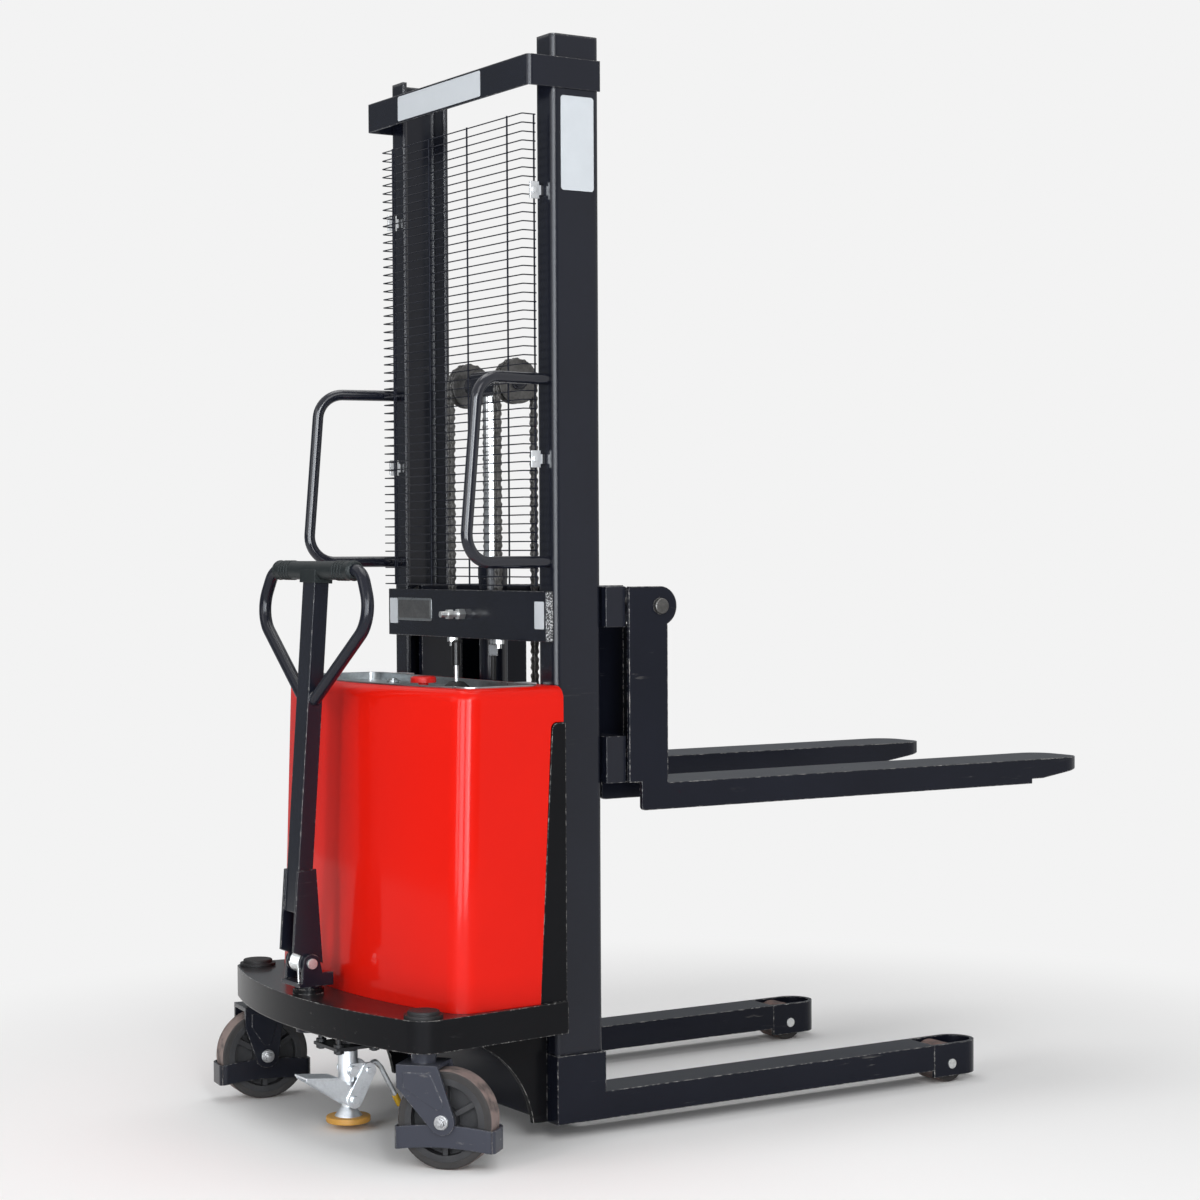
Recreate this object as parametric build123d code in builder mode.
from build123d import *
import os
from math import cos, hypot, pi, radians, sin, sqrt

# Semi-electric stacker, in millimetres. X to the truck's right, Y towards the fork tips, Z up.
# The origin lies on the floor, in the middle of the width, under the rear face of the mast posts.

# Fits shared by the whole truck
running_fit = 0.1
rolling_gap = 1.0
seat_gap = 0.3

# Mast
mast_height = 2080
mast_half = 322
post_depth = 104
post_flange = 54
web_wall = 8
flange_wall = 9
post_corner = 10
mast_mid = post_depth / 2
post_inner = mast_half - post_flange

# Legs with their load rollers
leg_width = 90
leg_outset = 6
leg_bottom = 30
leg_height = 53
leg_wall = 5
leg_end = 915
heel_top = 160
heel_lap = 2
leg_outer = mast_half + leg_outset
leg_inner = leg_outer - leg_width
leg_mid = leg_outer - leg_width / 2
leg_top = leg_bottom + leg_height
roller_radius = 40
roller_axle_radius = 10
roller_y = 962
roller_side_gap = 0.6
strap_wall = 8
strap_bottom = 15
strap_front = 1045

# Deck over the castors
deck_top = 271
deck_plate = 6
skirt_height = 60
deck_front_half = 365
deck_corner_half = 404
deck_corner_y = -330
deck_rear_y = -404
deck_corner_radius = 50
gusset_toe = 32
gusset_length = 241
deck_under = deck_top - deck_plate
skirt_bottom = deck_top - skirt_height

# Castors; the heading is clockwise from the fork direction, seen from above
castor_x = 356
castor_y = -303
castor_trail = {"left": 7, "right": 47}
castor_heading = {"left": 8, "right": 48}
wheel_radius = 90
wheel_width = 50
tyre_wall = 14
hub_radius = 24
hub_rim = 12
castor_axle_radius = 8
yoke_top = 191
yoke_half = 39
yoke_plate = 8
yoke_cheek = 7
yoke_side_gap = 0.6
guard_wall = 4
guard_gap = 2
guard_low = 34.5
guard_high = 75.5
guard_arch = 8
stem_radius = 15
boss_radius = 30
cap_radius = 36
cap_height = 13

# Lift cylinder and crosshead, drawn at the photographed height
barrel_radius = 28.5
bore_radius = 22
rod_radius = 17.5
barrel_foot = 60
barrel_top = 1060
gland_top = 1086
pulley_z = 1446
pulley_x = 93
pulley_pitch_radius = 41
pulley_flange_radius = 43.5
pulley_flange = 4
pulley_axle_radius = 12
crosshead_half = 50
crosshead_depth = 46
crosshead_height = 50
chain_width = 16
chain_depth = 14

# Beam across the mast
beam_half = 316
beam_rise = 81
beam_height = 95
beam_depth = 16
beam_wall = 8
shelf_front = 22
anchor_radius = 6
clevis_height = 30

# Fork carriage
fork_top = 668
fork_half = 343
fork_width = 153
fork_plate = 8
fork_tip = 1320
outer_wall_depth = 51
inner_wall_depth = 41
nose_length = 170
nose_rise = 18
nose_corner = 52
shank_back = 153
shank_front = 241
heel_back = 181
shaft_radius = 15
shaft_y = 224
shaft_z = 1008
lug_radius = 38
bar_back = 108
bar_depth = 44
upper_bar_height = 77
lower_bar_bottom = 672
lower_bar_height = 89
bar_half = 332
side_plate_wall = 14
side_plate_gap = 6
guide_width = 32
guide_axle_radius = 15
guide_upper_z = 1000
guide_lower_z = 790
carriage_top = shaft_z + lug_radius

# Guard and handles on the mast
wire = 3
guard_half = 282.5
guard_shift = 4
tab_x = 224
tab_y = -33
guard_back = -44
guard_return = 29
guard_rise = 11
guard_drop = 148
guard_rows = 54
guard_uprights = (-231, -77, 77, 231)
handle_radius = 11
handle_x = 300
handle_rise = 56
handle_length = 343
handle_reach_high = 166
handle_reach_low = 196
handle_lead = 34
handle_splay = 28
handle_bend = 52
top_strap_wall = 4
top_strap_drop = 101
top_strap_height = 57
top_strap_back = 54

# Power unit cover and console
cover_wall = 4
cover_top = 862
cover_half = 360
cover_half_top = 355
cover_spread = 17
cover_rear = 300
cover_rear_corner = 238
cover_lean = 18
cover_corner = 46
cover_crown = 24
cover_front = -2
notch_z = 795
notch_high_y = -30
notch_low_y = -60
notch_corner = 12
plate_gap = 1.5
console_margin = 34
console_front = -42
console_corner = 24
console_wall = 3
console_lap = 8
console_sink = 12

# Tiller
turret_y = -361
turret_plate = 8
turret_gap = 7
collar_height = 10
tiller_pin_y = -372
tiller_pin_z = 332
tiller_pin_radius = 10
tiller_lean = 4.05
tube_back = 17
tube_width = 50
tube_depth = 30
tube_wall = 3
tube_foot = 95
tube_top = 742
cheek_wall = 6
cheek_top = 180
ear_wall = 8
ear_radius = 18
ear_flange = 17
loop_radius = 12
loop_joint = 500
loop_corner_x = 240
loop_corner_z = 660
loop_shoulder_x = 190
loop_corner_bend = 60
loop_shoulder_bend = 44
loop_top = 748
grip_radius = 18
grip_length = 330
grip_boss = 64
grip_skirt = 24
spring_wire = 4.4
spring_radius = 19
spring_turns = 6
spring_pitch = 6.2

# Floor brake
brake_y = -278
brake_bridge_z = 202
brake_plate_z = 160
brake_tube_radius = 19
brake_tube_low = 92
plunger_radius = 13
pad_radius = 43
pad_height = 12
pad_bottom = 12
pedal_pin_z = 115
pedal_pin_radius = 5
pedal_low_z = 57
link_y = 33
link_z = 112
pedal_cheek = 3
pedal_gap = 1
pedal_length = 96
arm_x = 10

# Controls on the console
lever_x = 100
lever_y = -88
lever_length = 46
lever_radius = 4
knob_length = 49
knob_radius = 9
stop_x = 62
stop_y = -140
stop_radius = 25
stop_stem = 10
stop_travel = 7
key_x = -180
key_y = -80
key_radius = 13
key_height = 5

# Power unit inside the cover
battery_size = (300, 170, 215)
battery_x = -185
power_y = -145
tank_size = (200, 150, 180)
tank_x = 150
motor_radius = 56
motor_height = 190
hose_radius = 6
return_drop = 110
return_port_turn = -30

# Heights that follow from the sizes above
beam_bottom = cover_top + beam_rise
beam_top = beam_bottom + beam_height
guard_base = beam_top + guard_rise
guard_top = mast_height - guard_drop
guard_pitch = (guard_top - guard_base) / (guard_rows - 1)
handle_low = beam_top + handle_rise
handle_high = handle_low + handle_length
top_strap_low = mast_height - top_strap_drop

os.makedirs("parts", exist_ok=True)
sides = {"left": -1, "right": 1}


def save(piece, name):
    """Label a finished piece and write it under its own name."""
    piece.part.label = name
    export_step(piece.part, f"parts/{name}.step")


def span(side, inner, outer):
    """The two X values of a band on the left (-1) or right (1) side, low value first."""
    return tuple(sorted((side * inner, side * outer)))


def block(x, y, z, mode=Mode.ADD):
    """A box between three (low, high) pairs."""
    with Locations(((x[0] + x[1]) / 2, (y[0] + y[1]) / 2, (z[0] + z[1]) / 2)):
        Box(x[1] - x[0], y[1] - y[0], z[1] - z[0], mode=mode)


def rod_x(x, y, z, radius, mode=Mode.ADD):
    """A round bar along X between the two values of x."""
    with Locations(((x[0] + x[1]) / 2, y, z)):
        Cylinder(radius, x[1] - x[0], rotation=(0, 90, 0), mode=mode)


def rod_y(x, y, z, radius, mode=Mode.ADD):
    """A round bar along Y between the two values of y."""
    with Locations((x, (y[0] + y[1]) / 2, z)):
        Cylinder(radius, y[1] - y[0], rotation=(90, 0, 0), mode=mode)


def rod_z(x, y, z, radius, mode=Mode.ADD):
    """A round bar along Z between the two values of z."""
    with Locations((x, y, (z[0] + z[1]) / 2)):
        Cylinder(radius, z[1] - z[0], mode=mode)


# Mast posts: channels that open towards each other and stand on the heels of the legs
for name, side in sides.items():
    with BuildPart() as mast_post:
        with BuildSketch(Plane.XY.offset(heel_top)) as channel:
            with Locations((side * (mast_half - post_flange / 2), mast_mid)):
                Rectangle(post_flange, post_depth)
            fillet(channel.vertices().filter_by(lambda v: abs(v.X) > mast_half - 1), post_corner)
            with Locations((side * (mast_half - web_wall - post_flange / 2), mast_mid)):
                Rectangle(post_flange, post_depth - 2 * flange_wall, mode=Mode.SUBTRACT)
        extrude(amount=mast_height - heel_top)
    save(mast_post, f"mast_post_{name}")

# Strap bent round the back of both posts near the top
with BuildPart() as top_strap:
    with BuildSketch(Plane.XY.offset(top_strap_low)) as ring:
        outer_half = mast_half + top_strap_wall
        with Locations((0, (post_depth - top_strap_back) / 2)):
            Rectangle(2 * outer_half, post_depth + top_strap_back)
        fillet(ring.vertices().filter_by(lambda v: v.Y < 0), post_corner)
        with Locations((0, (post_depth - top_strap_back + top_strap_wall) / 2)):
            Rectangle(2 * mast_half, post_depth + top_strap_back - top_strap_wall, mode=Mode.SUBTRACT)
    extrude(amount=top_strap_height)
save(top_strap, "top_strap")

# Beam across the back of the posts, with the shelf that the chains are anchored to
rear_chain_y = mast_mid - pulley_pitch_radius
front_chain_y = mast_mid + pulley_pitch_radius
with BuildPart() as mid_beam:
    block((-beam_half, beam_half), (-beam_depth, beam_wall - beam_depth), (beam_bottom, beam_top))
    for low in (beam_bottom, beam_top - beam_wall):
        block((-beam_half, beam_half), (-beam_depth, 0), (low, low + beam_wall))
    block(
        (-post_inner + 1, post_inner - 1),
        (-beam_depth, shelf_front),
        (beam_bottom, beam_bottom + beam_wall),
    )
    for x in (-pulley_x, pulley_x):
        rod_z(x, rear_chain_y, (beam_bottom, beam_bottom + beam_wall), anchor_radius, mode=Mode.SUBTRACT)
    rod_y(0, (-beam_depth, 0), (beam_bottom + beam_top) / 2, anchor_radius, mode=Mode.SUBTRACT)
save(mid_beam, "mid_beam")

# Foot plate between the two heels, which carries the cylinder
with BuildPart() as mast_base:
    block((-leg_inner, leg_inner), (0, post_depth), (leg_bottom, barrel_foot))
    block((-leg_inner, leg_inner), (0, flange_wall), (barrel_foot, heel_top))
save(mast_base, "mast_base")

# Legs: a closed tube with a heel block under the post
for name, side in sides.items():
    with BuildPart() as leg:
        block(span(side, leg_inner, leg_outer), (-heel_lap, leg_end), (leg_bottom, leg_top))
        block(
            span(side, leg_inner + leg_wall, leg_outer - leg_wall),
            (post_depth, leg_end - leg_wall),
            (leg_bottom + leg_wall, leg_top - leg_wall),
            mode=Mode.SUBTRACT,
        )
        block(span(side, leg_inner, leg_outer), (-heel_lap, post_depth + heel_lap), (leg_top, heel_top))
    save(leg, f"leg_{name}")

# Round straps on the ends of the legs, which hold the load rollers
with BuildPart() as roller_straps:
    for side in sides.values():
        with BuildSketch(Plane.XY.offset(strap_bottom)):
            nose_y = strap_front - leg_width / 2
            for half, mode in ((leg_width / 2, Mode.ADD), (leg_width / 2 - strap_wall, Mode.SUBTRACT)):
                with Locations((side * leg_mid, (leg_end + nose_y) / 2)):
                    Rectangle(2 * half, nose_y - leg_end, mode=mode)
                with Locations((side * leg_mid, nose_y)):
                    Circle(half, mode=mode)
        extrude(amount=leg_top - strap_bottom)
        rod_x(
            span(side, leg_inner, leg_outer),
            roller_y,
            roller_radius,
            roller_axle_radius,
            mode=Mode.SUBTRACT,
        )
save(roller_straps, "roller_straps")

with BuildPart() as load_roller_axles:
    for side in sides.values():
        rod_x(span(side, leg_inner - 2, leg_outer + 2), roller_y, roller_radius, roller_axle_radius)
save(load_roller_axles, "load_roller_axles")

strap_inside = leg_width / 2 - strap_wall
for name, side in sides.items():
    with BuildPart() as load_roller:
        half_width = strap_inside - roller_side_gap
        rod_x(
            (side * leg_mid - half_width, side * leg_mid + half_width),
            roller_y,
            roller_radius,
            roller_radius,
        )
        chamfer(load_roller.edges().filter_by(GeomType.CIRCLE), 3)
        rod_x(
            (side * leg_mid - half_width, side * leg_mid + half_width),
            roller_y,
            roller_radius,
            roller_axle_radius + running_fit,
            mode=Mode.SUBTRACT,
        )
    save(load_roller, f"load_roller_{name}")

# Deck: a pan with a bowed rear skirt, bosses for the castors and the tiller, and curved gussets to the heels
with BuildPart() as deck:
    for shrink, low, high, mode in (
        (0, skirt_bottom, deck_top, Mode.ADD),
        (deck_plate, skirt_bottom, deck_under, Mode.SUBTRACT),
    ):
        with BuildSketch(Plane.XY.offset(low)) as pan:
            with BuildLine():
                corner = (deck_corner_half, deck_corner_y)
                mirrored = (-deck_corner_half, deck_corner_y)
                Line((deck_front_half, 0), corner)
                ThreePointArc(corner, (0, deck_rear_y), mirrored)
                Line(mirrored, (-deck_front_half, 0))
                Line((-deck_front_half, 0), (deck_front_half, 0))
            make_face()
            fillet(pan.vertices().filter_by(lambda v: v.Y < 0), deck_corner_radius)
            if shrink:
                offset(amount=-shrink, mode=Mode.REPLACE)
        extrude(amount=high - low, mode=mode)
    for x, y, top in (
        (-castor_x, castor_y, deck_under),
        (castor_x, castor_y, deck_under),
        (0, turret_y, deck_top + collar_height),
    ):
        rod_z(x, y, (skirt_bottom, top), boss_radius)
        rod_z(x, y, (skirt_bottom, top), stem_radius + running_fit, mode=Mode.SUBTRACT)
    bridge_half = boss_radius + 15
    block(
        (-bridge_half, bridge_half),
        (brake_y - bridge_half, brake_y + bridge_half),
        (brake_bridge_z, deck_under),
    )
    for side in sides.values():
        gusset_x = span(side, leg_mid - deck_plate, leg_mid + deck_plate)
        with BuildSketch(Plane.YZ.offset(gusset_x[0])):
            with BuildLine():
                Line((-heel_lap, deck_under), (-heel_lap, leg_bottom))
                Line((-heel_lap, leg_bottom), (-gusset_toe, leg_bottom))
                RadiusArc(
                    (-gusset_toe, leg_bottom),
                    (-gusset_length, skirt_bottom),
                    gusset_toe - gusset_length,
                )
                Line((-gusset_length, skirt_bottom), (-gusset_length, deck_under))
                Line((-gusset_length, deck_under), (-heel_lap, deck_under))
            make_face()
        extrude(amount=gusset_x[1] - gusset_x[0])
save(deck, "deck")

# Rubber caps over the castor stems
with BuildPart() as castor_caps:
    for x in (-castor_x, castor_x):
        rod_z(x, castor_y, (deck_top, deck_top + cap_height * 0.45), cap_radius)
        rod_z(x, castor_y, (deck_top, deck_top + cap_height), cap_radius * 0.82)
    fillet(castor_caps.edges().group_by(Axis.Z)[-1], 3)
save(castor_caps, "castor_caps")

# Castors: yoke with its guard band, axle, hub and tyre
wheel_half = wheel_width / 2
hub_half = wheel_half + 4
guard_inner = hub_half + yoke_side_gap
cheek_inner = guard_inner + guard_wall


def cheek_plane(frame, offset):
    """The upright plane across a castor's axle, at an offset along the axle."""
    return Plane(frame.from_local_coords((offset, 0, 0)), x_dir=frame.y_dir, z_dir=frame.x_dir)


for name, side in sides.items():
    turn = radians(castor_heading[name])
    frame = Plane((side * castor_x, castor_y, 0), x_dir=(cos(turn), -sin(turn), 0))
    trail = castor_trail[name]
    with BuildPart(frame) as castor_yoke:
        band_half = wheel_radius + guard_gap + guard_wall
        with BuildSketch(cheek_plane(frame, -cheek_inner)):
            with BuildLine():
                corners = [(trail + end * band_half, z) for z in (guard_low, guard_high) for end in (-1, 1)]
                ThreePointArc(corners[0], (trail, guard_low + guard_arch), corners[1])
                Line(corners[1], corners[3])
                ThreePointArc(corners[3], (trail, guard_high + guard_arch), corners[2])
                Line(corners[2], corners[0])
            make_face()
        extrude(amount=2 * cheek_inner)
        fillet(castor_yoke.edges().filter_by(Axis.Z), 14)
        block(
            (-guard_inner, guard_inner),
            (trail - wheel_radius - guard_gap, trail + wheel_radius + guard_gap),
            (guard_low, guard_high + guard_arch),
            mode=Mode.SUBTRACT,
        )
        cheek_outer = cheek_inner + yoke_cheek
        for cheek_side in (-1, 1):
            for faces, inset, eye_y, eye_z, eye in (
                ((cheek_inner, cheek_outer), 0, trail, wheel_radius, 24),
                ((cheek_outer, cheek_outer + 1), 14, 0.85 * trail, wheel_radius + 32, 10),
            ):
                start, end = span(cheek_side, *faces)
                with BuildSketch(cheek_plane(frame, start)):
                    with Locations((0, yoke_top - inset)):
                        Rectangle(2 * (yoke_half - inset), 41 - inset, align=(Align.CENTER, Align.MAX))
                    with Locations((eye_y, eye_z)):
                        Circle(eye)
                    make_hull()
                extrude(amount=end - start)
        block((-cheek_outer, cheek_outer), (-yoke_half, yoke_half), (yoke_top - yoke_plate, yoke_top))
        rod_z(0, 0, (yoke_top, deck_under - 2), stem_radius)
        rod_z(0, 0, (yoke_top, skirt_bottom - 2), stem_radius + 8)
        rod_x((-cheek_outer, cheek_outer), trail, wheel_radius, castor_axle_radius, mode=Mode.SUBTRACT)
    save(castor_yoke, f"castor_yoke_{name}")

    with BuildPart(frame) as castor_axle:
        rod_x((-cheek_outer - 6, cheek_outer + 6), trail, wheel_radius, castor_axle_radius)
        for end in (-1, 1):
            rod_x(span(end, cheek_outer, cheek_outer + 4), trail, wheel_radius, castor_axle_radius + 5)
    save(castor_axle, f"castor_axle_{name}")

    rim_radius = wheel_radius - tyre_wall
    with BuildPart(frame) as castor_hub:
        rod_x((-wheel_half, wheel_half), trail, wheel_radius, rim_radius)
        for face in (-1, 1):
            rod_x(
                span(face, deck_plate, wheel_half),
                trail,
                wheel_radius,
                rim_radius - hub_rim,
                mode=Mode.SUBTRACT,
            )
        rod_x((-hub_half, hub_half), trail, wheel_radius, hub_radius)
        with Locations((0, trail, wheel_radius)):
            with Locations(Rotation(0, 90, 0)):
                with PolarLocations((hub_radius + rim_radius - hub_rim) / 2, 6):
                    Box(rim_radius - hub_rim - hub_radius + 6, 10, wheel_width - 8)
        rod_x(
            (-hub_half, hub_half),
            trail,
            wheel_radius,
            castor_axle_radius + running_fit,
            mode=Mode.SUBTRACT,
        )
    save(castor_hub, f"castor_hub_{name}")

    with BuildPart(frame) as castor_tyre:
        rod_x((-wheel_half, wheel_half), trail, wheel_radius, wheel_radius)
        fillet(castor_tyre.edges().filter_by(GeomType.CIRCLE), 5)
        rod_x((-wheel_half, wheel_half), trail, wheel_radius, rim_radius, mode=Mode.SUBTRACT)
    save(castor_tyre, f"castor_tyre_{name}")

# Lift cylinder: barrel, screwed gland, and the rod with its piston
with BuildPart() as lift_cylinder:
    rod_z(0, mast_mid, (barrel_foot, barrel_top), barrel_radius)
    rod_z(0, mast_mid, (barrel_foot + 20, barrel_top), bore_radius, mode=Mode.SUBTRACT)
    port_z = heel_top - 30
    return_port_z = beam_bottom - 35
    return_way = (cos(radians(return_port_turn)), sin(radians(return_port_turn)))
    rod_x((barrel_radius - 3, barrel_radius + 14), mast_mid, port_z, hose_radius + 4)
    with BuildPart(Plane((0, mast_mid, 0), x_dir=(return_way[0], return_way[1], 0), z_dir=(0, 0, 1))):
        block((0, barrel_radius + 17), (-9, 9), (return_port_z, return_port_z + 22))
    rod_z(0, mast_mid, (return_port_z, return_port_z + 22), bore_radius, mode=Mode.SUBTRACT)
save(lift_cylinder, "lift_cylinder")

with BuildPart() as cylinder_gland:
    rod_z(0, mast_mid, (barrel_top, gland_top), barrel_radius + 1)
    chamfer(cylinder_gland.edges().group_by(Axis.Z)[-1], 3)
    rod_z(0, mast_mid, (barrel_top, gland_top), rod_radius + running_fit, mode=Mode.SUBTRACT)
save(cylinder_gland, "cylinder_gland")

crosshead_low = pulley_z - crosshead_height / 2
with BuildPart() as lift_rod:
    piston_low = 480
    rod_z(0, mast_mid, (piston_low, crosshead_low), rod_radius)
    rod_z(0, mast_mid, (piston_low, piston_low + 40), bore_radius - running_fit)
save(lift_rod, "lift_rod")

pulley_width = chain_width + 2 * pulley_flange + 2
with BuildPart() as crosshead:
    block(
        (-crosshead_half, crosshead_half),
        (mast_mid - crosshead_depth / 2, mast_mid + crosshead_depth / 2),
        (crosshead_low, pulley_z + crosshead_height / 2),
    )
    fillet(crosshead.edges().filter_by(Axis.X), 10)
    pulley_out = pulley_x + pulley_width / 2
    rod_x((-pulley_out - 8, pulley_out + 8), mast_mid, pulley_z, pulley_axle_radius)
    for end in (-1, 1):
        rod_x(
            span(end, crosshead_half, pulley_x - pulley_width / 2 - seat_gap),
            mast_mid,
            pulley_z,
            pulley_axle_radius + 6,
        )
        rod_x(span(end, pulley_out + seat_gap, pulley_out + 6), mast_mid, pulley_z, pulley_axle_radius + 5)
save(crosshead, "crosshead")

chain_inner = pulley_pitch_radius - chain_depth / 2
with BuildPart() as chain_pulleys:
    for x in (-pulley_x, pulley_x):
        rod_x((x - pulley_width / 2, x + pulley_width / 2), mast_mid, pulley_z, pulley_flange_radius)
        groove = (x - chain_width / 2 - 1, x + chain_width / 2 + 1)
        rod_x(groove, mast_mid, pulley_z, pulley_flange_radius, mode=Mode.SUBTRACT)
        rod_x(groove, mast_mid, pulley_z, chain_inner - seat_gap)
        rod_x(
            (x - pulley_width / 2, x + pulley_width / 2),
            mast_mid,
            pulley_z,
            pulley_axle_radius + running_fit,
            mode=Mode.SUBTRACT,
        )
save(chain_pulleys, "chain_pulleys")

# Chains: from the beam up over the pulleys and down to the carriage
rear_chain_low = beam_bottom + beam_wall + clevis_height
front_plate_low = lower_bar_bottom + 12
front_plate_high = front_plate_low + 26
front_chain_low = front_plate_high + clevis_height
with BuildPart() as lift_chains:
    for x in (-pulley_x, pulley_x):
        with BuildSketch(Plane.YZ.offset(x - chain_width / 2)):
            with Locations((mast_mid, pulley_z)):
                Circle(pulley_pitch_radius + chain_depth / 2)
                Circle(chain_inner, mode=Mode.SUBTRACT)
                with Locations((0, -pulley_flange_radius)):
                    Rectangle(4 * pulley_flange_radius, 2 * pulley_flange_radius, mode=Mode.SUBTRACT)
            for y, low in ((rear_chain_y, rear_chain_low), (front_chain_y, front_chain_low)):
                with Locations((y, (low + pulley_z) / 2)):
                    Rectangle(chain_depth, pulley_z - low)
        extrude(amount=chain_width)
save(lift_chains, "lift_chains")

# Threaded anchors of the rear chain ends, and the stud that clamps the cylinder to the beam
with BuildPart() as beam_bolts:
    for x in (-pulley_x, pulley_x):
        shelf_top = beam_bottom + beam_wall
        rod_z(x, rear_chain_y, (beam_bottom - 19, shelf_top), anchor_radius)
        block(
            (x - chain_width / 2, x + chain_width / 2),
            (rear_chain_y - chain_depth / 2, rear_chain_y + chain_depth / 2),
            (shelf_top, rear_chain_low),
        )
        with BuildSketch(Plane.XY.offset(beam_bottom - 10)):
            with Locations((x, rear_chain_y)):
                RegularPolygon(anchor_radius * 1.8, 6)
        extrude(amount=10)
    stud_z = (beam_bottom + beam_top) / 2
    rod_y(0, (-beam_depth - 52, mast_mid - barrel_radius - 6), stud_z, anchor_radius)
    with BuildSketch(Plane.XZ.offset(beam_depth)):
        with Locations((0, stud_z)):
            RegularPolygon(anchor_radius * 1.9, 6)
    extrude(amount=14)
    with BuildSketch(Plane.XZ.offset(beam_depth + 26)):
        with Locations((0, stud_z)):
            RegularPolygon(anchor_radius * 1.7, 6)
    extrude(amount=11)
    saddle_back = mast_mid - barrel_radius
    block((-24, 24), (saddle_back - 6, mast_mid), (stud_z - 16, stud_z + 16))
    rod_z(0, mast_mid, (stud_z - 16, stud_z + 16), barrel_radius, mode=Mode.SUBTRACT)
save(beam_bolts, "beam_bolts")

# Fork carriage: two plates with roller stubs, two bars, ears for the shaft, and the chain plate
bar_front = bar_back + bar_depth
side_outer = post_inner - side_plate_gap
side_inner = side_outer - side_plate_wall
guide_radius = mast_mid - flange_wall - rolling_gap
guide_inner = post_inner + side_plate_gap
ear_x = fork_half - fork_width - 24
with BuildPart() as carriage_frame:
    for side in sides.values():
        block(
            span(side, side_inner, side_outer),
            (mast_mid - guide_axle_radius - 12, bar_back),
            (guide_lower_z - guide_radius - 4, carriage_top),
        )
        for z in (guide_upper_z, guide_lower_z):
            stub = span(side, side_outer, guide_inner + guide_width + 1)
            rod_x(stub, mast_mid, z, guide_axle_radius)
        block(
            span(side, ear_x - 16, ear_x),
            (bar_front, shaft_y + lug_radius - 8),
            (shaft_z - 26, carriage_top),
        )
    block((-bar_half, bar_half), (bar_back, bar_front), (carriage_top - upper_bar_height, carriage_top))
    block(
        (-bar_half, bar_half),
        (bar_back, bar_front),
        (lower_bar_bottom, lower_bar_bottom + lower_bar_height),
    )
    for side in sides.values():
        block(
            span(side, side_inner, side_outer),
            (bar_back, bar_back + 12),
            (lower_bar_bottom + lower_bar_height, carriage_top - upper_bar_height),
        )
    chain_plate_half = pulley_x + 30
    block(
        (-chain_plate_half, chain_plate_half),
        (front_chain_y - 10, bar_back),
        (front_plate_low, front_plate_high),
    )
    skirt_half = leg_inner - 12
    block((-skirt_half, skirt_half), (bar_back + 4, bar_back + 14), (lower_bar_bottom - 46, lower_bar_bottom))
    for x in (-pulley_x, pulley_x):
        rod_z(x, front_chain_y, (front_plate_low, front_plate_high), anchor_radius, mode=Mode.SUBTRACT)
    rod_x((-ear_x, ear_x), shaft_y, shaft_z, shaft_radius, mode=Mode.SUBTRACT)
save(carriage_frame, "carriage_frame")

with BuildPart() as chain_anchors_front:
    for x in (-pulley_x, pulley_x):
        rod_z(x, front_chain_y, (front_plate_low - 24, front_plate_high), anchor_radius)
        block(
            (x - chain_width / 2, x + chain_width / 2),
            (front_chain_y - chain_depth / 2, front_chain_y + chain_depth / 2),
            (front_plate_high, front_chain_low),
        )
        with BuildSketch(Plane.XY.offset(front_plate_low - 14)):
            with Locations((x, front_chain_y)):
                RegularPolygon(anchor_radius * 1.7, 6)
        extrude(amount=14)
save(chain_anchors_front, "chain_anchors_front")

for name, height in (("upper", guide_upper_z), ("lower", guide_lower_z)):
    with BuildPart() as guide_rollers:
        for side in sides.values():
            rod_x(span(side, guide_inner, guide_inner + guide_width), mast_mid, height, guide_radius)
        chamfer(guide_rollers.edges().filter_by(GeomType.CIRCLE), 2)
        for side in sides.values():
            rod_x(
                span(side, guide_inner, guide_inner + guide_width),
                mast_mid,
                height,
                guide_axle_radius + running_fit,
                mode=Mode.SUBTRACT,
            )
    save(guide_rollers, f"guide_rollers_{name}")

with BuildPart() as fork_shaft:
    rod_x((-fork_half - 9, fork_half + 9), shaft_y, shaft_z, shaft_radius)
    chamfer(fork_shaft.edges().filter_by(GeomType.CIRCLE), 1.5)
save(fork_shaft, "fork_shaft")

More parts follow.
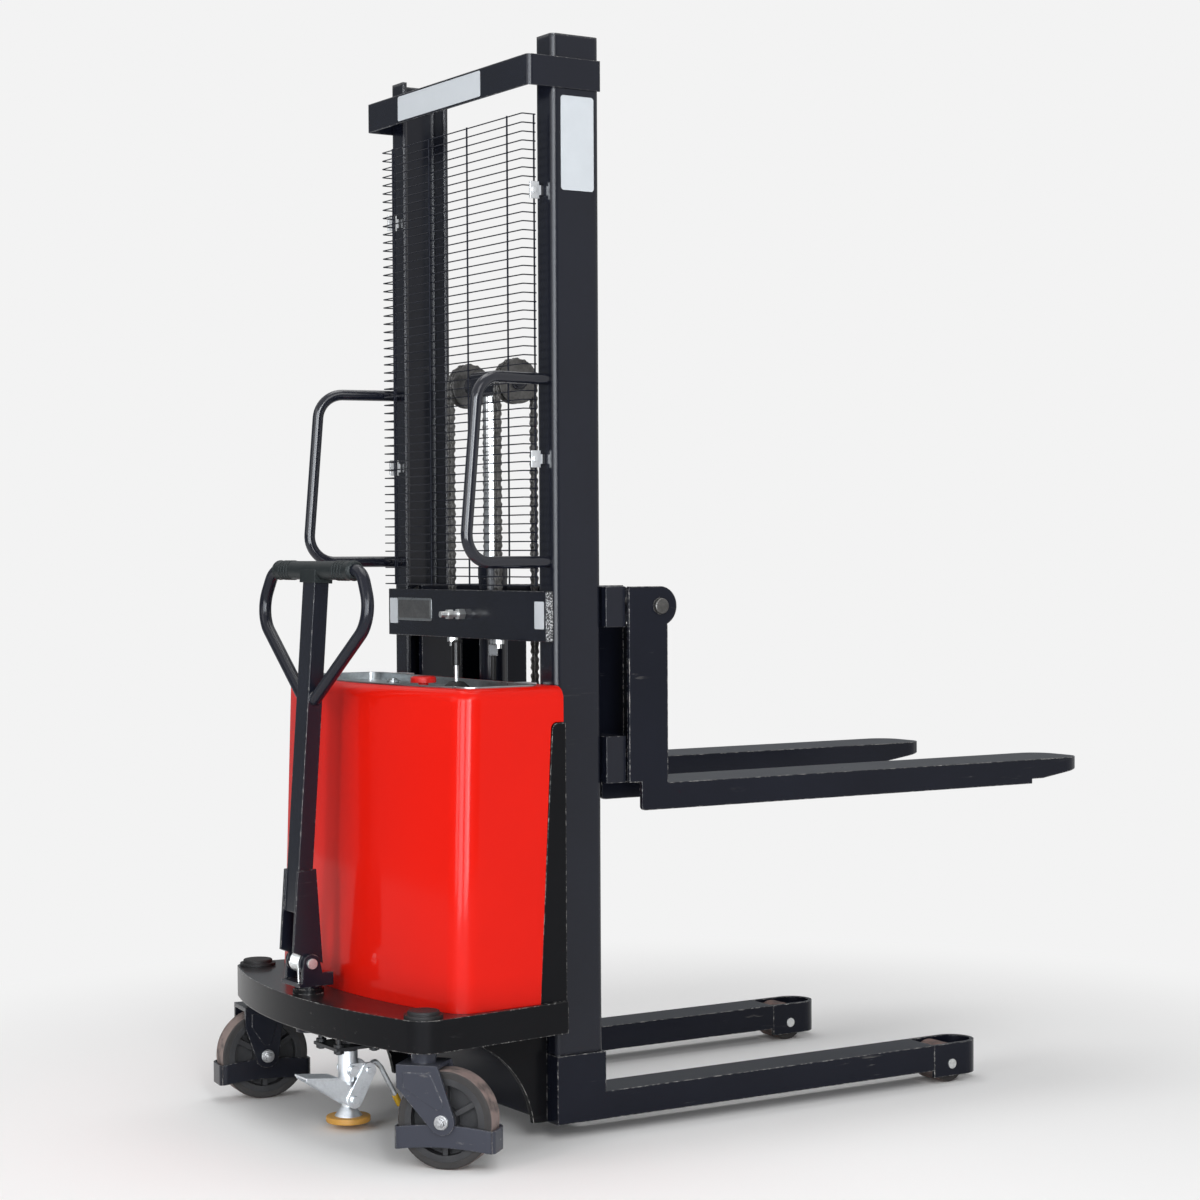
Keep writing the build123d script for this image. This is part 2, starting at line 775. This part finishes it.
# Forks: two cheek plates that turn the corner into the fork's walls, a top plate, a front plate and a nose
fork_inner = fork_half - fork_width
nose_start = fork_tip - nose_length
top_under = fork_top - fork_plate
for name, side in sides.items():
    with BuildPart() as fork:
        for inner, outer, depth in (
            (fork_half - fork_plate, fork_half, outer_wall_depth),
            (fork_inner, fork_inner + fork_plate, inner_wall_depth),
        ):
            cheek_x = span(side, inner, outer)
            wall_low = fork_top - depth
            with BuildSketch(Plane.YZ.offset(cheek_x[0])) as cheek:
                Polygon(
                    (shank_back, lower_bar_bottom),
                    (shank_back, carriage_top),
                    (shaft_y, carriage_top),
                    (shank_front, shaft_z - lug_radius),
                    (shank_front, fork_top),
                    (nose_start + 20, fork_top),
                    (nose_start + 20, wall_low),
                    (heel_back, wall_low),
                    (heel_back, lower_bar_bottom),
                    align=None,
                )
                fillet(cheek.vertices().group_by(Axis.Y)[0].sort_by(Axis.X)[:1], fork_plate)
                with Locations((shaft_y, shaft_z)):
                    Circle(lug_radius)
            extrude(amount=cheek_x[1] - cheek_x[0])
        fork_x = span(side, fork_inner, fork_half)
        block(fork_x, (shank_front - fork_plate, nose_start + 20), (top_under, fork_top))
        block(fork_x, (shank_front - fork_plate, shank_front), (top_under, shaft_z - lug_radius))
        with BuildSketch(Plane.XY.offset(fork_top - inner_wall_depth)) as nose:
            with Locations(((fork_x[0] + fork_x[1]) / 2, (nose_start + fork_tip) / 2)):
                Rectangle(fork_width, nose_length)
            fillet(nose.vertices().group_by(Axis.Y)[-1], nose_corner)
        extrude(amount=inner_wall_depth)
        with BuildSketch(Plane.YZ.offset(fork_x[0])):
            Polygon(
                (nose_start + 50, fork_top - outer_wall_depth),
                (nose_start + 50, fork_top - inner_wall_depth),
                (fork_tip + 1, fork_top - inner_wall_depth + nose_rise),
                (fork_tip + 1, fork_top - outer_wall_depth),
                align=None,
            )
        extrude(amount=fork_width, mode=Mode.SUBTRACT)
        rod_x(fork_x, shaft_y, shaft_z, shaft_radius, mode=Mode.SUBTRACT)
    save(fork, f"fork_{name}")

# Wire guard in front of the operator, with its ends turned back to the posts
guard_front = guard_back + guard_return
guard_edges = [guard_shift + side * guard_half for side in sides.values()]
with BuildPart() as wire_guard:
    row_heights = [guard_base + row * guard_pitch - wire / 2 for row in range(guard_rows)]
    with BuildSketch(*[Plane.XY.offset(height) for height in row_heights]):
        with Locations((guard_shift, guard_back)):
            Rectangle(2 * guard_half + wire, wire)
        for x in guard_edges:
            with Locations((x, (guard_back + guard_front) / 2)):
                Rectangle(wire, guard_return + wire)
    extrude(amount=wire)
    upright_low = guard_base - wire / 2
    upright_high = guard_top + wire / 2
    for x in guard_uprights:
        block(
            (guard_shift + x - wire / 2, guard_shift + x + wire / 2),
            (guard_back - 1.4 * wire, guard_back - 0.4 * wire),
            (upright_low, upright_high),
        )
    for x, side in zip(guard_edges, sides.values()):
        edge = sorted((x - side * 1.4 * wire, x - side * 0.4 * wire))
        block(edge, (guard_front - wire, guard_front), (upright_low, upright_high))
save(wire_guard, "wire_guard")

# Bright clips: four that hold the guard to the posts and two that hold the cover
clip_wall = 3
with BuildPart() as steel_clips:
    for z in (guard_base + 0.27 * (guard_top - guard_base), guard_base + 0.84 * (guard_top - guard_base)):
        for x, side in zip(guard_edges, sides.values()):
            inner = abs(x) + wire / 2
            band = span(side, inner, inner + clip_wall)
            block(band, (guard_front - 15, guard_front + 5), (z - 16, z + 16))
            block(band, (guard_front + 5, 0), (z - 9, z + 9))
            block(span(side, post_inner + 1, inner + clip_wall), (-clip_wall, 0), (z - 9, z + 9))
            rod_x(span(side, inner + clip_wall, inner + clip_wall + 3), guard_front - 6, z, 5)
    for side in sides.values():
        block(span(side, tab_x, tab_x + 44), (tab_y, tab_y + 26), (cover_top, cover_top + clip_wall))
save(steel_clips, "steel_clips")

# Grab handles bent from round tube
with BuildPart() as grab_handles:
    for side in sides.values():
        x = side * handle_x
        with BuildLine() as handle_path:
            FilletPolyline(
                (x, 0, handle_high),
                (x, -handle_lead, handle_high),
                (x + side * handle_splay, -handle_reach_high, handle_high),
                (x + side * handle_splay, -handle_reach_low, handle_low),
                (x, -handle_lead, handle_low),
                (x, 0, handle_low),
                radius=[handle_bend] * 4,
            )
        with BuildSketch(Plane((x, 0, handle_high), z_dir=(0, -1, 0))):
            Circle(handle_radius)
        sweep(path=handle_path.wires()[0])
save(grab_handles, "grab_handles")


def cover_outline(half, rear, corner, front):
    """Lines of the cover's plan: sides that spread towards a bowed back."""
    spread = cover_spread / cover_rear_corner
    right = ((half - spread * front, front), (half + spread * corner, -corner))
    left = [(-x, y) for x, y in right]
    Line(*right)
    ThreePointArc(right[1], (0, -rear), left[1])
    Line(*left)
    Line(left[0], right[0])


def console_outline(margin, front):
    """Lines of the cover's top, drawn in by a margin at the sides and the back."""
    inset = cover_lean + margin
    cover_outline(cover_half_top - margin, cover_rear - inset, cover_rear_corner - inset, front)


# Space under the cover, and the cover over it: a drawn shell, open to the mast, with a window for the console
for shell, name in ((cover_wall, "core"), (0, "cover")):
    with BuildPart() as power_cover:
        for z, half, lean in (
            (deck_top, cover_half, 0),
            (cover_top - shell, cover_half_top, cover_lean),
        ):
            with BuildSketch(Plane.XY.offset(z)) as plan:
                with BuildLine():
                    inset = lean + shell
                    cover_outline(half - shell, cover_rear - inset, cover_rear_corner - inset, mast_mid)
                make_face()
                fillet(plan.vertices().group_by(Axis.Y)[0], cover_corner - shell)
        loft()
        rim = power_cover.edges().group_by(Axis.Z)[-1].sort_by(Axis.Y)[:-1]
        fillet(rim, cover_crown - shell)
        if name == "core":
            cover_core = power_cover.part
            continue
        add(cover_core, mode=Mode.SUBTRACT)
        block(
            (-cover_half - 1, cover_half + 1),
            (cover_front, mast_mid + 1),
            (deck_top - 1, cover_top + 1),
            mode=Mode.SUBTRACT,
        )
        for side in sides.values():
            notch_x = span(side, cover_half_top - 2 * cover_crown, cover_half + cover_spread)
            with BuildSketch(Plane.YZ.offset(notch_x[0])) as notch:
                Polygon(
                    (notch_low_y, deck_top - 1),
                    (notch_high_y, notch_z),
                    (1, notch_z),
                    (1, deck_top - 1),
                    align=None,
                )
                fillet(notch.vertices().group_by(Axis.Y)[-1].sort_by(Axis.X)[:1], notch_corner)
            extrude(amount=notch_x[1] - notch_x[0], mode=Mode.SUBTRACT)
        with BuildSketch(Plane.XY.offset(cover_top - cover_wall - 1)) as window:
            with BuildLine():
                console_outline(console_margin, console_front)
            make_face()
            fillet(window.vertices(), console_corner)
        extrude(amount=cover_wall + 2, mode=Mode.SUBTRACT)
save(power_cover, "power_cover")

# Black plates that close the sides between the cover and the posts
with BuildPart() as side_plates:
    for side in sides.values():
        plate_x = span(side, cover_half - cover_wall, cover_half)
        with BuildSketch(Plane.YZ.offset(plate_x[0])) as plate:
            Polygon(
                (notch_low_y + plate_gap, deck_top),
                (notch_high_y + plate_gap, notch_z - plate_gap),
                (0, notch_z - plate_gap),
                (0, deck_top),
                align=None,
            )
            fillet(plate.vertices().group_by(Axis.Y)[-1].sort_by(Axis.X)[:1], notch_corner)
        extrude(amount=cover_wall)
        block(span(side, mast_half - 24, cover_half), (-cover_wall, 0), (deck_top, notch_z - plate_gap))
save(side_plates, "side_plates")

# Console: a tray let into the window, with a rim on the cover and holes for the controls
console_top = cover_top - console_sink
console_under = console_top - console_wall
with BuildPart() as console_panel:
    for margin, low, high, mode in (
        (console_margin - console_lap, cover_top, cover_top + console_wall, Mode.ADD),
        (console_margin + seat_gap, console_under, cover_top, Mode.ADD),
        (console_margin + seat_gap + console_wall, console_top, cover_top + console_wall, Mode.SUBTRACT),
    ):
        with BuildSketch(Plane.XY.offset(low)) as tray:
            with BuildLine():
                console_outline(margin, console_front + console_margin - margin)
            make_face()
            fillet(tray.vertices(), console_corner + console_margin - margin)
        extrude(amount=high - low, mode=mode)
    rod_z(stop_x, stop_y, (console_under, console_top), stop_stem + seat_gap, mode=Mode.SUBTRACT)
    rod_z(lever_x, lever_y, (console_under, console_top), knob_radius, mode=Mode.SUBTRACT)
save(console_panel, "console_panel")

with BuildPart() as lever_boot:
    with BuildSketch(Plane.XZ.offset(-lever_y)):
        with Locations((lever_x, console_top)):
            Polygon((12, 0), (26, 0), (26, 3), (14, 13), (10, 13), align=None)
    revolve(axis=Axis((lever_x, lever_y, 0), (0, 0, 1)))
save(lever_boot, "lever_boot")

lever_pivot_z = console_top - console_wall / 2
with BuildPart() as lift_lever:
    rod_z(lever_x, lever_y, (lever_pivot_z - 16, lever_pivot_z + lever_length), lever_radius)
    with Locations((lever_x, lever_y, lever_pivot_z)):
        Sphere(knob_radius - seat_gap)
save(lift_lever, "lift_lever")

with BuildPart() as lever_knob:
    rod_z(
        lever_x,
        lever_y,
        (lever_pivot_z + lever_length, lever_pivot_z + lever_length + knob_length),
        knob_radius,
    )
    fillet(lever_knob.edges().group_by(Axis.Z)[-1], knob_radius - 2)
save(lever_knob, "lever_knob")

stop_rest = console_top + 4 + stop_travel + seat_gap
with BuildPart() as emergency_button:
    rod_z(stop_x, stop_y, (console_top - 14, stop_rest), stop_stem)
    rod_z(stop_x, stop_y, (stop_rest, stop_rest + 12), stop_radius)
    fillet(emergency_button.edges().group_by(Axis.Z)[-1], 5)
save(emergency_button, "emergency_button")

with BuildPart() as console_instruments:
    rod_z(stop_x, stop_y, (console_top, console_top + 4), stop_radius - 3)
    rod_z(stop_x, stop_y, (console_top, console_top + 4), stop_stem + seat_gap, mode=Mode.SUBTRACT)
    key_top = console_top + key_height
    rod_z(key_x, key_y, (console_top, key_top), key_radius)
    rod_z(key_x, key_y, (key_top, key_top + 3), key_radius - 4)
    block((key_x - 1.2, key_x + 1.2), (key_y - 6, key_y + 6), (key_top, key_top + 3), mode=Mode.SUBTRACT)
save(console_instruments, "console_instruments")

# Tiller: turret on the deck, hinge pin, spring, tube with its loop, and grip
with BuildPart() as turret_bracket:
    turret_low = deck_top + collar_height + seat_gap
    plate_high = turret_low + turret_gap + turret_plate
    ear_inner = tube_width / 2 + cheek_wall + seat_gap
    ear_outer = ear_inner + ear_wall
    rod_z(0, turret_y, (skirt_bottom - 6, turret_low + turret_gap), stem_radius)
    rod_z(0, turret_y, (turret_low, turret_low + turret_gap), boss_radius - 4)
    rod_z(0, turret_y, (skirt_bottom - 14, skirt_bottom - seat_gap), boss_radius - 6)
    turret_front = turret_y + 34
    block((-ear_outer, ear_outer), (turret_y - 38, turret_front), (turret_low + turret_gap, plate_high))
    for ear_side in (-1, 1):
        ear_x_band = span(ear_side, ear_inner, ear_outer)
        with BuildSketch(Plane.YZ.offset(ear_x_band[0])):
            Polygon(
                (tiller_pin_y - ear_radius - 3, turret_low + turret_gap),
                (tiller_pin_y - ear_radius, tiller_pin_z),
                (tiller_pin_y + ear_radius, tiller_pin_z),
                (tiller_pin_y + ear_radius + 4, plate_high + ear_flange),
                (turret_front, plate_high + ear_flange),
                (turret_front, turret_low + turret_gap),
                align=None,
            )
            with Locations((tiller_pin_y, tiller_pin_z)):
                Circle(ear_radius)
        extrude(amount=ear_wall)
    rod_x((-ear_outer, ear_outer), tiller_pin_y, tiller_pin_z, tiller_pin_radius, mode=Mode.SUBTRACT)
save(turret_bracket, "turret_bracket")

with BuildPart() as tiller_pin:
    rod_x((-ear_outer - 4, ear_outer + 4), tiller_pin_y, tiller_pin_z, tiller_pin_radius)
    bush_half = tube_width / 2 - seat_gap
    rod_x((-bush_half, bush_half), tiller_pin_y, tiller_pin_z, spring_radius - spring_wire / 2 - seat_gap)
save(tiller_pin, "tiller_pin")


def spring_point(angle):
    """Point on the spring's centre line at an angle in radians, and its direction there."""
    x = (angle / (2 * pi) - spring_turns / 2) * spring_pitch
    place = Vector(x, tiller_pin_y - spring_radius * cos(angle), tiller_pin_z - spring_radius * sin(angle))
    heading = Vector(spring_pitch / (2 * pi), spring_radius * sin(angle), -spring_radius * cos(angle))
    return place, heading.normalized()


# Torsion spring round the pin: quarter turns, each of two arcs that meet smoothly, and a straight leg
spring_gap = spring_pitch * spring_radius / hypot(spring_radius, spring_pitch / (2 * pi)) - spring_wire
print("tiller spring, least gap between turns:", round(spring_gap, 2))
with BuildPart() as tiller_spring:
    with BuildLine() as coil:
        for quarter in range(4 * spring_turns):
            start, start_way = spring_point(quarter * pi / 2)
            end, end_way = spring_point((quarter + 1) * pi / 2)
            chord = end - start
            along = chord.dot(start_way + end_way)
            spread = 2 * (1 - start_way.dot(end_way))
            reach = (sqrt(along**2 + spread * chord.dot(chord)) - along) / spread
            middle = (start + end + (start_way - end_way) * reach) / 2
            TangentArc(start, middle, tangent=start_way)
            TangentArc(middle, end, tangent=chord - (start_way + end_way) * reach)
        tail, tail_way = spring_point(4 * spring_turns * pi / 2)
        Line(tail, tail + tail_way * (tiller_pin_z - plate_high - seat_gap))
    coil_wire = coil.wires()[0]
    with BuildSketch(Plane(coil_wire @ 0, z_dir=coil_wire % 0)):
        Circle(spring_wire / 2)
    sweep(path=coil_wire)
save(tiller_spring, "tiller_spring")

lean = radians(tiller_lean)
tiller_frame = Plane((0, tiller_pin_y, tiller_pin_z), x_dir=(1, 0, 0), z_dir=(0, sin(lean), cos(lean)))
tube_origin = tiller_frame.from_local_coords((0, -tube_back, 0))
tube_frame = Plane(tube_origin, x_dir=(1, 0, 0), z_dir=tiller_frame.z_dir)
with BuildPart(tiller_frame) as tiller_tube:
    for wall, mode in ((0, Mode.ADD), (tube_wall, Mode.SUBTRACT)):
        block(
            (wall - tube_width / 2, tube_width / 2 - wall),
            (wall - tube_back - tube_depth / 2, tube_depth / 2 - tube_back - wall),
            (tube_foot, tube_top - wall),
            mode=mode,
        )
    for cheek_side in (-1, 1):
        cheek_band = span(cheek_side, tube_width / 2, tube_width / 2 + cheek_wall)
        cheek_plane = Plane(
            tiller_frame.from_local_coords((cheek_band[0], 0, 0)),
            x_dir=tiller_frame.y_dir,
            z_dir=tiller_frame.x_dir,
        )
        with BuildSketch(cheek_plane):
            Polygon(
                (-tube_back - 19, cheek_top - 6),
                (19 - tube_back, cheek_top),
                (27, 0),
                (-tube_back - 19, 20),
                align=None,
            )
            Circle(22)
        extrude(amount=cheek_wall)
    with BuildLine(Plane(tube_origin, x_dir=(1, 0, 0), z_dir=-tube_frame.y_dir)) as loop_path:
        FilletPolyline(
            (-tube_width / 2 + 3, loop_joint),
            (-loop_corner_x, loop_corner_z),
            (-loop_shoulder_x, loop_top),
            (loop_shoulder_x, loop_top),
            (loop_corner_x, loop_corner_z),
            (tube_width / 2 - 3, loop_joint),
            radius=[loop_corner_bend, loop_shoulder_bend, loop_shoulder_bend, loop_corner_bend],
        )
    loop_wire = loop_path.wires()[0]
    with BuildSketch(Plane(loop_wire @ 0, z_dir=loop_wire % 0)):
        Circle(loop_radius)
    sweep(path=loop_wire)
    rod_x(
        (-tube_width / 2 - cheek_wall, tube_width / 2 + cheek_wall),
        0,
        0,
        tiller_pin_radius + running_fit,
        mode=Mode.SUBTRACT,
    )
save(tiller_tube, "tiller_tube")

with BuildPart(tube_frame) as tiller_grip:
    rod_x((-grip_length / 2, grip_length / 2), 0, loop_top, grip_radius)
    fillet(tiller_grip.edges().filter_by(GeomType.CIRCLE), 5)
    block(
        (-grip_boss / 2, grip_boss / 2),
        (-tube_depth / 2 - 4, tube_depth / 2 + 4),
        (loop_top - grip_skirt, loop_top),
    )
    rod_x((-grip_length / 2, grip_length / 2), 0, loop_top, loop_radius + running_fit, mode=Mode.SUBTRACT)
    block(
        (-tube_width / 2, tube_width / 2),
        (-tube_depth / 2, tube_depth / 2),
        (loop_top - grip_skirt, tube_top),
        mode=Mode.SUBTRACT,
    )
save(tiller_grip, "tiller_grip")

# Floor brake under the deck: housing, pedal with its release arm, plunger and pad
with BuildPart() as brake_housing:
    plate_half = bridge_half + 4
    block(
        (-plate_half, plate_half),
        (brake_y - plate_half, brake_y + plate_half),
        (brake_plate_z, brake_plate_z + deck_plate),
    )
    rod_z(0, brake_y, (brake_tube_low, brake_bridge_z), brake_tube_radius)
    rod_z(0, brake_y, (brake_tube_low, brake_plate_z), plunger_radius + running_fit, mode=Mode.SUBTRACT)
    pin_half = brake_tube_radius + pedal_gap + pedal_cheek + 3
    for end in (-1, 1):
        rod_x(span(end, plunger_radius + 2, pin_half), brake_y, pedal_pin_z, pedal_pin_radius)
        rod_x(span(end, pin_half - 2.5, pin_half + 3), brake_y, pedal_pin_z, pedal_pin_radius + 4)
    for x in (-1, 1):
        for y in (-1, 1):
            corner = (x * (plate_half - 11), brake_y + y * (plate_half - 11))
            rod_z(*corner, (brake_plate_z - 8, brake_bridge_z), 6)
            for z in (brake_plate_z - 6, brake_plate_z + deck_plate):
                rod_z(*corner, (z, z + 6), 10)
save(brake_housing, "brake_housing")

pedal_in = brake_tube_radius + pedal_gap
pedal_out = pedal_in + pedal_cheek
link_out = pedal_out + pedal_cheek


def lobed_plate(band, lobes):
    """A flat plate across X whose outline is stretched round a few circles (y, z, radius)."""
    with BuildSketch(Plane.YZ.offset(band[0])) as outline:
        for y, z, radius in lobes:
            with Locations((y, z)):
                Circle(radius)
        make_hull()
    extrude(outline.sketch, amount=band[1] - band[0])


with BuildPart() as brake_pedal:
    tread_y = brake_y - pedal_length
    low_lobe = (brake_y + 2, pedal_low_z, 16)
    link_lobe = (brake_y + link_y, link_z, 15)
    tip_lobe = (tread_y, 105, 3)
    for cheek_side in (-1, 1):
        cheek_band = span(cheek_side, pedal_in, pedal_out)
        lobed_plate(cheek_band, ((brake_y, pedal_pin_z, 13), link_lobe))
        lobed_plate(cheek_band, (tip_lobe, (brake_y - 30, 97, 4), low_lobe))
        lobed_plate(span(cheek_side, pedal_out, link_out), (low_lobe, link_lobe))
        rod_x(span(cheek_side, link_out, link_out + 5), *low_lobe[:2], 8)
        rod_x(
            span(cheek_side, pedal_in, pedal_out),
            brake_y,
            pedal_pin_z,
            pedal_pin_radius + running_fit,
            mode=Mode.SUBTRACT,
        )
    rod_x((-link_out - 4, link_out + 4), *link_lobe[:2], 6)
    with BuildSketch(Plane.YZ.offset(-link_out)):
        Polygon(
            (tread_y - 5, 107),
            (tread_y - 5, 111),
            (brake_y - 32, 104),
            (brake_y - 32, 100),
            align=None,
        )
    extrude(amount=2 * link_out)
    with BuildLine() as release_path:
        FilletPolyline(
            (arm_x, *link_lobe[:2]),
            (arm_x, brake_y + 53, 126),
            (arm_x, brake_y + 66, link_z),
            (arm_x, brake_y + 107, 34),
            radius=7,
        )
    release_wire = release_path.wires()[0]
    with BuildSketch(Plane(release_wire @ 0, z_dir=release_wire % 0)):
        Circle(pedal_pin_radius)
    sweep(path=release_wire)
save(brake_pedal, "brake_pedal")

with BuildPart() as brake_plunger:
    pad_top = pad_bottom + pad_height
    rod_z(0, brake_y, (pad_top, brake_plate_z - 30), plunger_radius)
    with Locations((0, brake_y, pad_top)):
        Cone(pad_radius * 0.62, plunger_radius, 18, align=(Align.CENTER, Align.CENTER, Align.MIN))
save(brake_plunger, "brake_plunger")

with BuildPart() as brake_pad:
    rod_z(0, brake_y, (pad_bottom, pad_bottom + pad_height), pad_radius)
    fillet(brake_pad.edges().filter_by(GeomType.CIRCLE), 3)
save(brake_pad, "brake_pad")

# Power unit under the cover: battery, oil tank, pump motor and the two hoses
with BuildPart() as battery:
    length, depth, height = battery_size
    block(
        (battery_x - length / 2, battery_x + length / 2),
        (power_y - depth / 2, power_y + depth / 2),
        (deck_top, deck_top + height),
    )
    fillet(battery.edges().filter_by(Axis.Z), 6)
    for x in (-1, 1):
        pole = (battery_x + x * (length / 2 - 35), power_y - depth / 2 + 35)
        rod_z(*pole, (deck_top + height, deck_top + height + 18), 9)
save(battery, "battery")

tank_high = deck_top + tank_size[2]
with BuildPart() as oil_tank:
    length, depth, height = tank_size
    block(
        (tank_x - length / 2, tank_x + length / 2),
        (power_y - depth / 2, power_y + depth / 2),
        (deck_top, tank_high),
    )
    fillet(oil_tank.edges().filter_by(Axis.Z), 12)
    rod_z(tank_x - length / 2 + 30, power_y + depth / 2 - 32, (tank_high, tank_high + 12), hose_radius + 5)
    rod_y(
        tank_x - length / 4,
        (power_y + depth / 2 - 4, power_y + depth / 2 + 10),
        tank_high - 60,
        hose_radius + 5,
    )
save(oil_tank, "oil_tank")

with BuildPart() as pump_motor:
    motor_x = tank_x + tank_size[0] / 2 - motor_radius - 6
    rod_z(motor_x, power_y, (tank_high, tank_high + motor_height), motor_radius)
    fillet(pump_motor.edges().group_by(Axis.Z)[-1], 8)
    rod_z(motor_x, power_y, (tank_high, tank_high + 24), motor_radius + 5)
save(pump_motor, "pump_motor")


def hose(points, radii, radius):
    """A hose swept along straight runs that are joined by arcs."""
    with BuildPart() as tube:
        with BuildLine() as route:
            FilletPolyline(*points, radius=radii)
        path = route.wires()[0]
        with BuildSketch(Plane(path @ 0, z_dir=path % 0)):
            Circle(radius)
        sweep(path=path)
    share = tube.part.volume / (path.length * pi * radius**2)
    print("hose", round(path.length), "mm long, volume share", round(share, 4))
    return tube


pressure_port_y = power_y + tank_size[1] / 2 + 10
pressure_port_x = tank_x - tank_size[0] / 4
pressure_hose = hose(
    [
        (pressure_port_x, pressure_port_y, tank_high - 60),
        (pressure_port_x, 22, tank_high - 60),
        (pressure_port_x, 22, port_z + 40),
        (pressure_port_x - 6, mast_mid, port_z),
        (barrel_radius + 14, mast_mid, port_z),
    ],
    [34, 22, 16],
    hose_radius,
)
save(pressure_hose, "pressure_hose")

return_reach = barrel_radius + 9
return_port_x = return_reach * return_way[0]
return_port_y = mast_mid + return_reach * return_way[1]
return_x = tank_x - tank_size[0] / 2 + 30
return_y = power_y + tank_size[1] / 2 - 32
return_hose = hose(
    [
        (return_port_x, return_port_y, return_port_z),
        (return_port_x, return_port_y, return_port_z - return_drop),
        (return_port_x + 8, return_port_y - 40, return_port_z - return_drop - 100),
        (return_x - 8, -40, tank_high + 160),
        (return_x, return_y, tank_high + 90),
        (return_x, return_y, tank_high + 12),
    ],
    [60, 60, 50, 40],
    hose_radius - 1,
)
save(return_hose, "return_hose")
